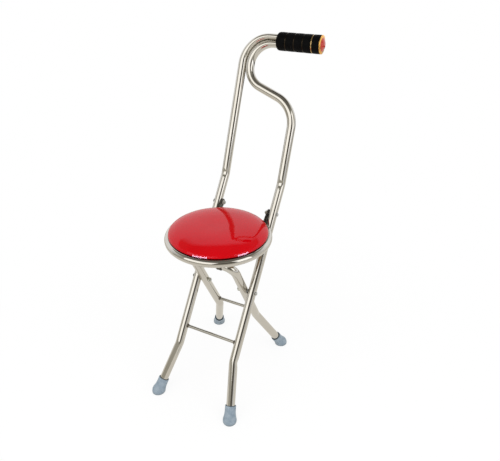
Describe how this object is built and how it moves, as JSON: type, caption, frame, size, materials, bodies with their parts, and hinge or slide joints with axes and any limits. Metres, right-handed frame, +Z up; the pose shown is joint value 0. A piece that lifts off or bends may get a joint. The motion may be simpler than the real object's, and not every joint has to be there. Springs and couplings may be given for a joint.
{
  "type": "folding walking-stick stool",
  "caption": "Folding walking-stick stool: crossed bent-tube legs, a round padded seat in a tube ring, and two tubes that bend over each other into a sideways hand grip.",
  "frame": {"origin": "on the floor, under the middle of the outer box", "axes": "+Z up, +X across towards the grip's lens, +Y from the front feet towards the rear feet"},
  "size_m": [0.26, 0.5002, 0.8539],
  "materials": {
    "polished_steel": "polished",
    "sheet_steel": "satin",
    "black_steel": "satin",
    "fastener_steel": "satin",
    "grey_rubber": "matte",
    "plywood": "matte",
    "red_vinyl": "gloss",
    "black_plastic": "satin",
    "gold_metal": "polished",
    "orange_gold_metal": "polished",
    "red_lens": "gloss"
  },
  "bodies": {
    "long_frame": {"side_tube_left": "polished_steel", "side_tube_right": "polished_steel", "front_rung": "polished_steel", "rubber_foot_front_left": "grey_rubber", "rubber_foot_front_right": "grey_rubber", "foot_discs_front": "sheet_steel", "grip_sleeve": "black_plastic", "grip_bands": "gold_metal", "grip_bezel": "orange_gold_metal", "grip_end_lens": "red_lens", "seat_pivot_bolts": "fastener_steel", "seat_pivot_nuts": "black_steel", "seat_pivot_washers": "fastener_steel", "leg_pivot_bolts": "fastener_steel", "leg_pivot_nuts": "black_steel", "leg_pivot_washers": "fastener_steel"},
    "rear_legs": {"rear_leg_hoop": "polished_steel", "rear_rung": "polished_steel", "rubber_foot_rear_left": "grey_rubber", "rubber_foot_rear_right": "grey_rubber", "foot_discs_rear": "sheet_steel"},
    "seat": {"seat_ring": "polished_steel", "seat_board": "plywood", "board_tabs": "sheet_steel", "board_tab_screws": "fastener_steel", "seat_cushion": "red_vinyl", "seat_lug_left": "sheet_steel", "seat_lug_right": "sheet_steel", "crossbar_clips": "black_steel", "crossbar_clip_screws": "fastener_steel"}
  },
  "joints": [
    {"name": "seat_fold", "type": "hinge", "parent": "long_frame", "child": "seat", "pos_m": [0, 0.06175, 0.4428], "axis": [-1, 0, 0], "range_deg": [0, 102]},
    {"name": "leg_fold", "type": "hinge", "parent": "long_frame", "child": "rear_legs", "pos_m": [0, -0.056, 0.2723], "axis": [-1, 0, 0], "range_deg": [0, 53]}
  ],
  "couplings": [
    {"joint": "leg_fold", "follows": "seat_fold", "ratio": 0.515}
  ]
}
